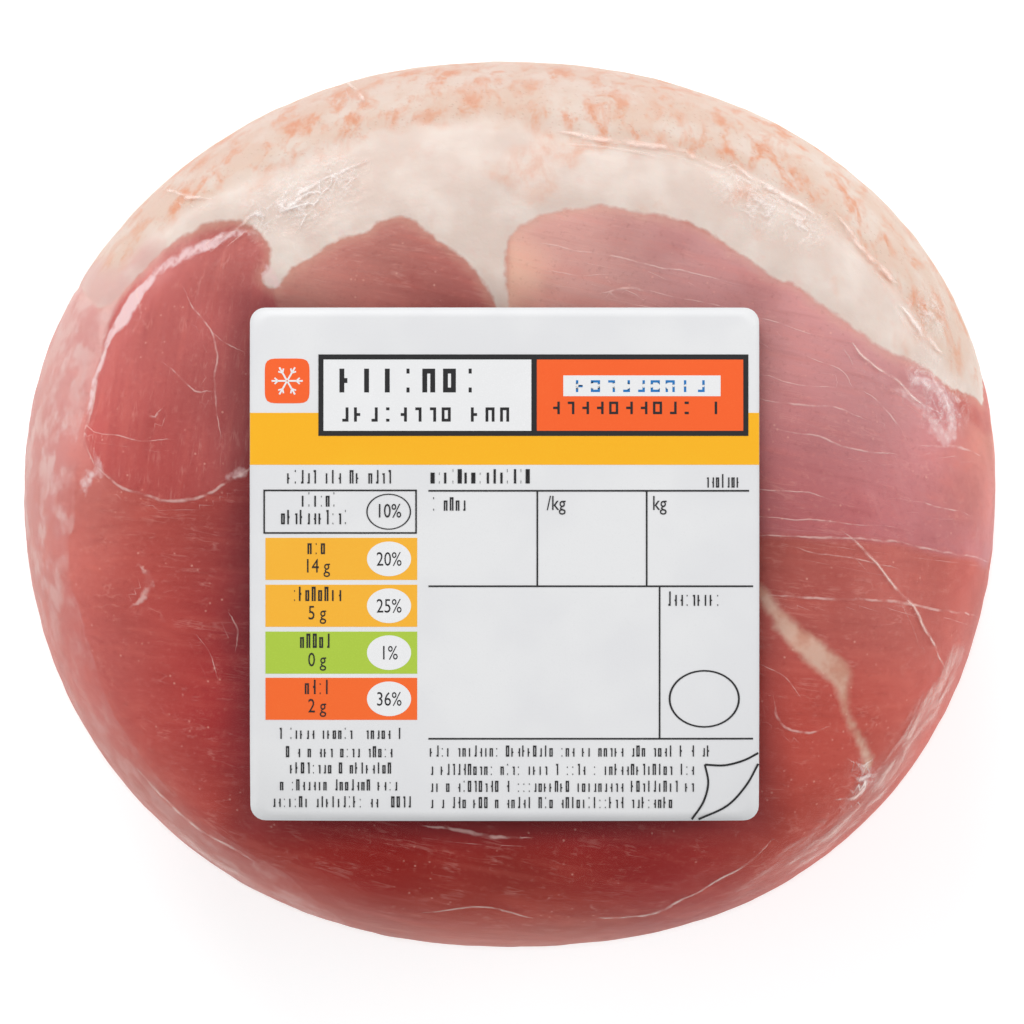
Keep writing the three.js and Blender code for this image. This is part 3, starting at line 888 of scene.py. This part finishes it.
def film_finish(name, cloudy=0.0):
    """Clear film: gloss and milky places mixed over a clear shader. The white on creases and crumples is
    painted glints; the white rim bands are partly milky film and partly painted reflection.
    """
    f = Finish(name)
    here = f.place()
    crease = abs(f.attribute("crease") + (f.noise(here, 1.5, 2) - 0.5) * 1.8).step(1.7, 0)
    crease = crease * f.attribute("crease_here")
    crumple = f.attribute("crumple")
    smudge = f.noise(here, 1.9, 3, 0.6, 0.5).step(0.48, 0.68)
    crinkle = (1 - abs(f.noise(here, 3, 3, 0.6, 1.2) - 0.5) * 18).most(0) * 0.5 + smudge * 0.6
    rim_place = f.attribute("rim_place", 1)
    streaks = f.noise(f.stretched(rim_place, (0.11, 0.11, 0.7)), 1, 4, 0.62, 0.5)
    cloud = f.noise(f.stretched(rim_place, (0.05, 0.05, 0.2)), 1, 2)
    band = (f.attribute("haze") + (streaks - 0.5) * 3).step(-1.6, 1.4)
    band = band * (streaks.step(0.4, 0.72) * 0.7 + cloud.step(0.35, 0.7) * 0.3)
    veins = f.noise(f.place((0.16, 0.5, 0.2), -0.25), 1, 4, 0.6, 0.6).step(0.62, 0.85)
    crease = crease * f.noise(here, 3, 3).step(0.35, 0.62, 0.15, 1)
    # White over the film: painted glints on creases and crumples, partly painted reflection in the rim
    # bands, and the sealed film's own cloudiness.
    milk_and_glints = crease * 0.6 + band * 0.68 + crumple * crinkle * 0.5 + veins * 0.02 + cloudy
    ripple = f.noise(f.stretched(rim_place, (0.09, 0.09, 0.4)), 1, 3, 0.55, 0.6)
    height = crease * 0.3 + crumple * crinkle * 0.2 + f.noise(here, 6, 2) * 0.3 + ripple * 1.2
    facing = f.node("ShaderNodeLayerWeight", {"Blend": 0.5}, output=1)
    gloss = facing ** 5 * 0.1 + 0.008
    white = f.mix(ink(255, 228, 216), ink(255, 247, 243), crumple)
    film = f.surface(Base_Color=white, Roughness=0.2, Metallic=(1 - milk_and_glints * 14).most(0),
                     Normal=f.bump(height, 0.5))
    clear = f.node("ShaderNodeBsdfTransparent")
    return f.end(f.node("ShaderNodeMixShader", ((gloss + milk_and_glints).least(1), clear, film)))


# ---- The label ----

def label_surface(points, lift):
    """Points of the cut face, laid on the label at a height above its underside."""
    points = np.asarray(points, float)
    return np.column_stack([points, label_height(points[:, 0], points[:, 1]) + lift])


LABEL_RINGS, CORNER_STEPS, SIDE_STEPS = 26, 6, 24


def label_outline():
    """Anticlockwise points round the label's rounded rectangle, about its middle."""
    w, l = LABEL_WIDTH / 2 - LABEL_CORNER, LABEL_LENGTH / 2 - LABEL_CORNER
    arcs = []
    for quarter, (x, y) in enumerate(((w, l), (-w, l), (-w, -l), (w, -l))):
        turn = (quarter + np.linspace(0, 1, CORNER_STEPS + 1)) * math.pi / 2
        arcs.append(np.column_stack([x + LABEL_CORNER * np.cos(turn), y + LABEL_CORNER * np.sin(turn)]))
    points = []
    for arc, following in zip(arcs, arcs[1:] + arcs[:1]):
        points += list(arc)
        run = following[0] - arc[-1]
        points += [arc[-1] + run * i / SIDE_STEPS for i in range(1, SIDE_STEPS)]
    return np.array(points)


def label_ply(name, lift):
    """Thin closed sheet, in rings round the label's middle."""
    outline = label_outline()
    around, rings = len(outline), LABEL_RINGS
    shares = np.linspace(0, 1, rings + 1)[1:]
    sheets = []
    for level in (lift, lift + PLY):
        rows = [np.zeros((1, 2))] + [outline * s for s in shares]
        sheets.append(label_surface(np.vstack(rows) + LABEL_PLACE, level))
    top = len(sheets[0])
    faces = []
    for i in range(around):
        j = (i + 1) % around
        faces += [(0, 1 + j, 1 + i), (top, top + 1 + i, top + 1 + j)]
        for ring in range(rings - 1):
            a, b, c, d = (1 + ring * around + i, 1 + (ring + 1) * around + i,
                          1 + (ring + 1) * around + j, 1 + ring * around + j)
            faces += [(a, d, c, b), (top + a, top + b, top + c, top + d)]
        a, b = 1 + (rings - 1) * around + i, 1 + (rings - 1) * around + j
        faces.append((a, b, top + b, top + a))
    return put(name, np.vstack(sheets), faces)


def paper_finish():
    f = Finish("label paper")
    here = f.place()
    cloud = f.noise(here, 14, 2)
    tooth = f.noise(here, 0.25, 3)
    colour = f.mix(ink(231, 231, 232), ink(236, 236, 236), cloud.step(0.35, 0.65))
    colour = f.mix(colour, ink(226, 226, 227), tooth.step(0.55, 0.8) * 0.5)
    return f.end(f.surface(Base_Color=colour, Roughness=0.42 + tooth * 0.12,
                           Normal=f.bump(tooth * 0.3 + cloud * 0.6, 0.08, 0.4)))


# ---- The label's print: thin layers of ink ----

LEAF_TOP = LABEL_CLEARANCE + 2 * PLY + PLY_GAP
INK_LEVELS = {"field": 0.02, "panel": 0.035, "line": 0.05}  # how far each layer stands above the paper

INKS = {
    "white": (240, 240, 240), "black": (28, 27, 29), "blue": (20, 118, 190), "yellow": (255, 184, 6),
    "orange": (253, 98, 30), "amber": (252, 183, 44), "green": (176, 206, 62), "red": (252, 106, 32),
}


class Print:
    """Flat patches of one ink at one level, in millimetres from the label's middle."""

    def __init__(self, level):
        self.level = INK_LEVELS[level]
        self.points, self.faces = [], []

    def patch(self, points, faces):
        start = len(self.points)
        self.points += [tuple(p) for p in points]
        self.faces += [tuple(start + i for i in face) for face in faces]

    def grid(self, x, y):
        """Patch of squares from two arrays of corner coordinates, one row after another."""
        rows, columns = x.shape
        faces = [(r * columns + c, r * columns + c + 1, (r + 1) * columns + c + 1, (r + 1) * columns + c)
                 for r in range(rows - 1) for c in range(columns - 1)]
        self.patch(np.column_stack([x.ravel(), y.ravel()]), faces)

    def panel(self, left, bottom, right, top, cell=1.6):
        x = np.linspace(left, right, max(2, math.ceil((right - left) / cell) + 1))
        y = np.linspace(bottom, top, max(2, math.ceil((top - bottom) / cell) + 1))
        self.grid(*np.meshgrid(x, y))

    def frame(self, left, bottom, right, top, width):
        self.panel(left, bottom, right, bottom + width)
        self.panel(left, top - width, right, top)
        self.panel(left, bottom + width, left + width, top - width)
        self.panel(right - width, bottom + width, right, top - width)

    def oval(self, x, y, across, up, hole=0.0, power=2):
        """Filled oval, or a ring whose hole is that share of it. A high power squares its corners."""
        turn, share = np.meshgrid(np.linspace(0, 2 * math.pi, 49), np.linspace(1, hole, 3))
        reach = (np.abs(np.cos(turn)) ** power + np.abs(np.sin(turn)) ** power) ** (-1 / power) * share
        self.grid(x + across * reach * np.cos(turn), y + up * reach * np.sin(turn))

    def line(self, points, width, pieces=6):
        """Even band along a smooth curve."""
        path = smooth_line(points, pieces)
        run = np.gradient(path, axis=0)
        side = np.column_stack([-run[:, 1], run[:, 0]]) / np.linalg.norm(run, axis=1)[:, None] * width / 2
        edges = np.stack([path - side, path + side])
        self.grid(edges[:, :, 0], edges[:, :, 1])

    def mesh(self, mesh, x, y, stretch=1.0):
        """Flat mesh made elsewhere, moved to x and y."""
        points = [(x + v.co.x * stretch, y + v.co.y) for v in mesh.vertices]
        self.patch(points, [tuple(f.vertices) for f in mesh.polygons])

    def piece(self, name, colour):
        """The patches as one closed thin object laid on the leaf."""
        flat = np.array(self.points) + LABEL_PLACE
        count = len(flat)
        edges = {edge for face in self.faces for edge in zip(face, face[1:] + face[:1])}
        walls = [(a, b, count + b, count + a) for a, b in edges if (b, a) not in edges]
        low, high = (label_surface(flat, LEAF_TOP + lift) for lift in (-0.01, self.level))
        faces = [tuple(i + count for i in face) for face in self.faces]
        faces += [face[::-1] for face in self.faces] + sorted(walls)
        printed = put(name, np.vstack([low, high]), faces, smooth=False)
        finish_piece(printed, ink_finish(name, colour), "leaf_paper")


def ink_finish(name, colour):
    f = Finish(name)
    here = f.place()
    speckle = f.noise(here, 0.18, 2)
    wear = f.noise(here, 9, 2)
    light = tuple(min(255, c + 14) for c in colour)
    tone = f.mix(ink(*colour), ink(*light), speckle.step(0.5, 0.8) * 0.5 + wear.step(0.5, 0.8) * 0.2)
    return f.end(f.surface(Base_Color=tone, Roughness=0.36 + speckle * 0.12,
                           Normal=f.bump(speckle, 0.02, 0.3)))


def print_line_tree():
    """One line of plain print marks with gaps between its words, from Geometry Nodes."""
    tree = bpy.data.node_groups.new("print line", "GeometryNodeTree")
    sizes = (("Length", 20.0), ("Pitch", 0.9), ("Height", 1.24), ("Stroke", 0.2), ("Gap Share", 0.15),
             ("Tall Share", 0.3))
    for name, default in sizes:
        socket = tree.interface.new_socket(name, in_out="INPUT", socket_type="NodeSocketFloat")
        socket.default_value = default
    tree.interface.new_socket("Seed", in_out="INPUT", socket_type="NodeSocketInt")
    tree.interface.new_socket("Ink", in_out="INPUT", socket_type="NodeSocketMaterial")
    tree.interface.new_socket("Print", in_out="OUTPUT", socket_type="NodeSocketGeometry")
    graph = Graph(tree)
    given = tree.nodes.new("NodeGroupInput")
    size = {socket.name: Value(graph, socket) for socket in given.outputs if socket.name}
    stroke, height = size["Stroke"], size["Height"]
    width = size["Pitch"] * 0.62

    def bar(x, y, across, up):
        flat = graph.node("GeometryNodeMeshGrid", {"Size X": across, "Size Y": up, "Vertices X": 2,
                                                   "Vertices Y": 2})
        centre = graph.node("ShaderNodeCombineXYZ", (x, y, 0.0))
        return graph.node("GeometryNodeTransform", {"Geometry": flat, "Translation": centre})

    def mark(*bars):
        return graph.node("GeometryNodeJoinGeometry", ([bar(*b) for b in bars],))

    half = width / 2
    left = (stroke / 2 - half, height / 2, stroke, height)
    right = (half - stroke / 2, height / 2, stroke, height)
    inside = width - stroke * 2
    top = (0.0, height - stroke / 2, inside, stroke)
    foot = (0.0, stroke / 2, inside, stroke)
    middle = (0.0, height / 2, inside, stroke)
    marks = [mark((0.0, height / 2, stroke, height)), mark(left, right, top), mark(left, right, top, foot),
             mark(left, middle), mark(right, foot), mark(right, top), mark(right, middle), mark(top, foot)]
    chosen = graph.node("GeometryNodeGeometryToInstance", (marks,))
    step = graph.node("ShaderNodeCombineXYZ", (size["Pitch"], 0.0, 0.0))
    points = graph.node("GeometryNodeMeshLine", {"Count": size["Length"] / size["Pitch"], "Offset": step})
    gap = graph.node("FunctionNodeRandomValue", {6: size["Gap Share"], 8: size["Seed"]}, 3,
                     data_type="BOOLEAN")
    words = graph.node("GeometryNodeDeleteGeometry", (points, gap), domain="POINT")
    kind = graph.node("FunctionNodeRandomValue", {4: 0, 5: len(marks) - 1, 8: size["Seed"] + 7}, 2,
                      data_type="INT")
    tall = graph.node("FunctionNodeRandomValue", {6: size["Tall Share"], 8: size["Seed"] + 13}, 3,
                      data_type="BOOLEAN")
    scale = graph.node("ShaderNodeCombineXYZ", (1.0, tall * 0.32 + 1, 1.0))
    laid = graph.node("GeometryNodeInstanceOnPoints", {
        "Points": words, "Instance": chosen, "Pick Instance": True, "Instance Index": kind, "Scale": scale,
    })
    real = graph.node("GeometryNodeRealizeInstances", (laid,))
    inked = graph.node("GeometryNodeSetMaterial", {"Geometry": real, "Material": size["Ink"]})
    graph.node("NodeGroupOutput", (inked,))
    return tree


def grown(tree, settings, material):
    """Plain mesh of a Geometry Nodes tree with its named inputs set."""
    mesh = bpy.data.meshes.new("seed")
    seed = bpy.data.objects.new("seed", mesh)
    bpy.context.scene.collection.objects.link(seed)
    modifier = seed.modifiers.new("growth", "NODES")
    modifier.node_group = tree
    for item in tree.interface.items_tree:
        if item.in_out == "INPUT":
            modifier[item.identifier] = material if item.name == "Ink" else settings[item.name]
    result = bpy.data.meshes.new_from_object(seed.evaluated_get(bpy.context.evaluated_depsgraph_get()))
    bpy.data.objects.remove(seed)
    return result


# Lines of plain marks: ink, left, baseline, length, height, stroke, pitch, share of gaps.
PRINT_LINES = (
    ("black", -24.3, 25.3, 21.6, 3.5, 0.72, 3.05, 0), ("black", -24.3, 21.0, 26.0, 2.1, 0.42, 2.15, 0.1),
    ("blue", 10.5, 25.35, 20.2, 1.75, 0.36, 2.2, 0), ("black", 6.8, 22.1, 27.6, 1.85, 0.36, 2.15, 0.1),
    ("black", -32.0, 11.9, 15.8, 1.5, 0.22, 0.92, 0.14),
    ("black", -30.0, 8.5, 5.6, 1.6, 0.24, 0.92, 0), ("black", -32.9, 5.9, 11.0, 1.6, 0.24, 0.92, 0.05),
    ("black", -29.0, 1.5, 3.0, 1.6, 0.24, 0.98, 0), ("black", -31.2, -5.4, 7.6, 1.6, 0.24, 0.94, 0),
    ("black", -30.1, -12.3, 5.4, 1.6, 0.24, 0.94, 0), ("black", -29.4, -19.1, 4.0, 1.6, 0.24, 0.98, 0),
    *(("black", *place, 1.24, 0.2, 0.8, 0.15) for place in (
        (-33.3, -25.7, 18.6), (-32.2, -28.4, 16.4), (-31.6, -30.8, 15.2), (-33.1, -33.3, 18.2),
        (-35.1, -35.8, 22.2))),
    ("black", -10.9, 11.9, 15.4, 1.6, 0.34, 1.0, 0.08), ("black", 29.6, 11.3, 5.6, 1.5, 0.2, 0.76, 0),
    ("black", -10.7, 7.9, 5.6, 1.5, 0.22, 0.88, 0.1), ("black", 23.9, -6.1, 8.6, 1.6, 0.22, 0.9, 0.1),
    *(("black", *place, 1.24, 0.19, 0.8, 0.16) for place in (
        (-11.0, -28.3, 42.3), (-11.0, -31.0, 39.9), (-11.0, -33.5, 39.9), (-11.0, -35.9, 36.7))),
)
# Plain numbers and units: text, middle, baseline and height.
NUMBERS = (
    ("10%", -17.05, 6.9, 2.1), ("20%", -17.0, -0.2, 2.1), ("25%", -17.0, -7.1, 2.1),
    ("1%", -17.0, -14.0, 2.1), ("36%", -17.0, -20.8, 2.1), ("14 g", -27.6, -1.2, 2.1),
    ("5 g", -27.6, -8.1, 2.1), ("0 g", -27.6, -15.0, 2.1), ("2 g", -27.6, -21.8, 2.1),
    ("/kg", 7.6, 8.0, 2.2), ("kg", 22.8, 8.0, 2.2),
)
NUMBER_STRETCH = 0.78
TALL_MARKS_BELOW = 1.7  # print of less height than this has some tall marks
FIRST_SEED = 20


def number_mesh(text, height):
    curve = bpy.data.curves.new("number", "FONT")
    curve.body, curve.size, curve.align_x = text, height * 1.38, "CENTER"
    curve.resolution_u = 3
    writer = bpy.data.objects.new("number", curve)
    bpy.context.scene.collection.objects.link(writer)
    mesh = bpy.data.meshes.new_from_object(writer.evaluated_get(bpy.context.evaluated_depsgraph_get()))
    bpy.data.objects.remove(writer)
    return mesh


def print_label():
    field = {name: Print("field") for name in ("yellow", "amber", "green", "red", "orange")}
    panel = {name: Print("panel") for name in ("white", "orange")}
    line = {name: Print("line") for name in ("black", "blue", "white")}

    # Yellow band, and the framed title with its plain and orange halves.
    half = LABEL_WIDTH / 2 - 0.02
    field["yellow"].panel(-half, 14.65, half, 22.3)
    panel["white"].panel(-27.0, 19.3, 4.2, 30.5)
    panel["orange"].panel(4.4, 19.3, 35.5, 30.5)
    line["black"].frame(-27.4, 18.9, 35.9, 30.9, 0.75)
    line["black"].panel(3.95, 19.65, 4.75, 30.15)
    line["white"].panel(8.65, 24.75, 31.8, 27.8)

    # Badge: a white frost star on an orange tile.
    middle = np.array([-32, 27])
    field["orange"].oval(*middle, 3.3, 3.3, power=6)
    for turn in np.arange(6) * math.pi / 3:
        out = np.array([math.cos(turn), math.sin(turn)])
        across = np.array([-out[1], out[0]])
        line["white"].line([middle + out * 0.1, middle + out * 2.3], 0.26, 1)
        for side in (-1, 1):
            fork = middle + out * 1.35
            line["white"].line([fork, fork + out * 0.5 + across * side * 0.45], 0.22, 1)

    # Nutrition rows.
    for colour, bottom in (("amber", -2.3), ("amber", -9.2), ("green", -16.1), ("red", -22.9)):
        field[colour].panel(-35.2, bottom, -12.85, bottom + 6.2)
        panel["white"].oval(-17, bottom + 3.1, 3.25, 2.55)
    line["black"].frame(-35.5, 4.5, -12.9, 11.0, 0.24)
    line["black"].oval(-17.05, 7.75, 3.3, 2.65, 0.94)

    # Rules round the date, weight and price windows.
    rules = ((-11.2, 10.7, 36.0, 10.95), (-11.2, -3.35, 36.6, -3.1), (-11.2, -25.8, 36.6, -25.55),
             (4.7, -3.1, 4.95, 10.7), (20.8, -3.1, 21.05, 10.7), (22.7, -25.55, 22.95, -3.35))
    for rule in rules:
        line["black"].panel(*rule)
    line["black"].oval(29.4, -19.8, 5.25, 4.25, 0.945)

    # Page corner drawn at the lower right.
    for curve in (((37.4, -27.8), (35.2, -28.9), (32.4, -29.6), (29.5, -29.5)),
                  ((29.5, -29.5), (30.0, -32.2), (29.3, -35.0), (27.6, -37.6)),
                  ((28.6, -37.6), (32.8, -35.6), (35.6, -32.6), (37.4, -29.4))):
        line["black"].line(curve, 0.3)

    tree = print_line_tree()
    plain = bpy.data.materials.new("ink on the line")
    for i, (colour, left, base, length, height, stroke, pitch, gaps) in enumerate(PRINT_LINES):
        settings = {"Length": length, "Pitch": pitch, "Height": height, "Stroke": stroke, "Gap Share": gaps,
                    "Tall Share": 0.3 if height < TALL_MARKS_BELOW else 0, "Seed": FIRST_SEED + i}
        line[colour].mesh(grown(tree, settings, plain), left + pitch * 0.31, base)
    for text, x, base, height in NUMBERS:
        line["black"].mesh(number_mesh(text, height), x, base, NUMBER_STRETCH)

    for level, prints in (("field", field), ("panel", panel), ("line", line)):
        for name, printed in prints.items():
            printed.piece(f"ink_{name}_{level}", INKS[name])


# ---- Floor, light and camera ----

FLOOR_REACH = 3
FLOOR_GLOW = 0.58
LIGHT_SIZE = 1.1
LIGHTS = (("back key", (-0.35, 1.3, 1.05), 13), ("left", (-1.6, 0.2, 0.7), 6),
          ("right", (1.6, 0.35, 0.7), 10))
LIGHTS_AIM = Vector((0, 0, 0.05))
SKY, SKY_STRENGTH = (0.97, 0.98, 1, 1), 0.55


def make_stage():
    corners = [(x * FLOOR_REACH, y * FLOOR_REACH, 0) for x, y in ((-1, -1), (1, -1), (1, 1), (-1, 1))]
    mesh = bpy.data.meshes.new("floor")
    mesh.from_pydata(corners, [], [(0, 1, 2, 3)])
    floor = bpy.data.objects.new("floor", mesh)
    bpy.context.scene.collection.objects.link(floor)
    f = Finish("pale floor")
    colour = f.mix(ink(214, 220, 220), ink(210, 216, 216), f.noise(f.place(), 90, 2))
    mesh.materials.append(f.end(f.surface(Base_Color=colour, Roughness=0.8, Emission_Color=(1, 1, 1, 1),
                                          Emission_Strength=FLOOR_GLOW)))


def light_studio():
    for name, place, watts in LIGHTS:
        data = bpy.data.lights.new(name, "AREA")
        data.shape, data.size, data.energy = "DISK", LIGHT_SIZE, watts
        light = bpy.data.objects.new(name, data)
        light.location = place
        light.rotation_euler = (LIGHTS_AIM - Vector(place)).to_track_quat("-Z", "Y").to_euler()
        bpy.context.scene.collection.objects.link(light)
    world = bpy.data.worlds.new("studio")
    world.use_nodes = True
    background = world.node_tree.nodes["Background"]
    background.inputs[0].default_value, background.inputs[1].default_value = SKY, SKY_STRENGTH
    bpy.context.scene.world = world
    bpy.context.scene.view_settings.view_transform = "Standard"


VIEW_DISTANCE = 1161  # from the camera to the top of the film
VIEW_WIDTH = 150.8  # across the picture at the top of the film
VIEW_MIDDLE = FACE_MIDDLE + [0.1, -1.2]


def place_camera():
    data = bpy.data.cameras.new("camera")
    data.lens = data.sensor_width * VIEW_DISTANCE / VIEW_WIDTH
    data.clip_end = 20
    camera = bpy.data.objects.new("camera", data)
    top = JOINT_HEIGHT + 2 * FILM_OUTSIDE
    camera.location = (*(VIEW_MIDDLE * MM), (top + VIEW_DISTANCE) * MM)
    bpy.context.scene.collection.objects.link(camera)
    bpy.context.scene.camera = camera


place_camera()
make_stage()
light_studio()

finish_piece(make_joint(), pork_finish(), "cured_pork", "gammon_joint")
finish_piece(make_film(), film_finish("shrink film"), "clear_film", "shrink_bag")
sealed = film_finish("sealed film", 0.03)
make_tail("closing_tail", CLOSING_TAIL, sealed)
make_tail("factory_tail", FACTORY_TAIL, sealed)
paper = paper_finish()
finish_piece(label_ply("label_base", LABEL_CLEARANCE), paper, "base_paper", "label_base_ply")
finish_piece(label_ply("label_leaf", LABEL_CLEARANCE + PLY + PLY_GAP), paper, "leaf_paper",
             "label_peel_leaf")
print_label()
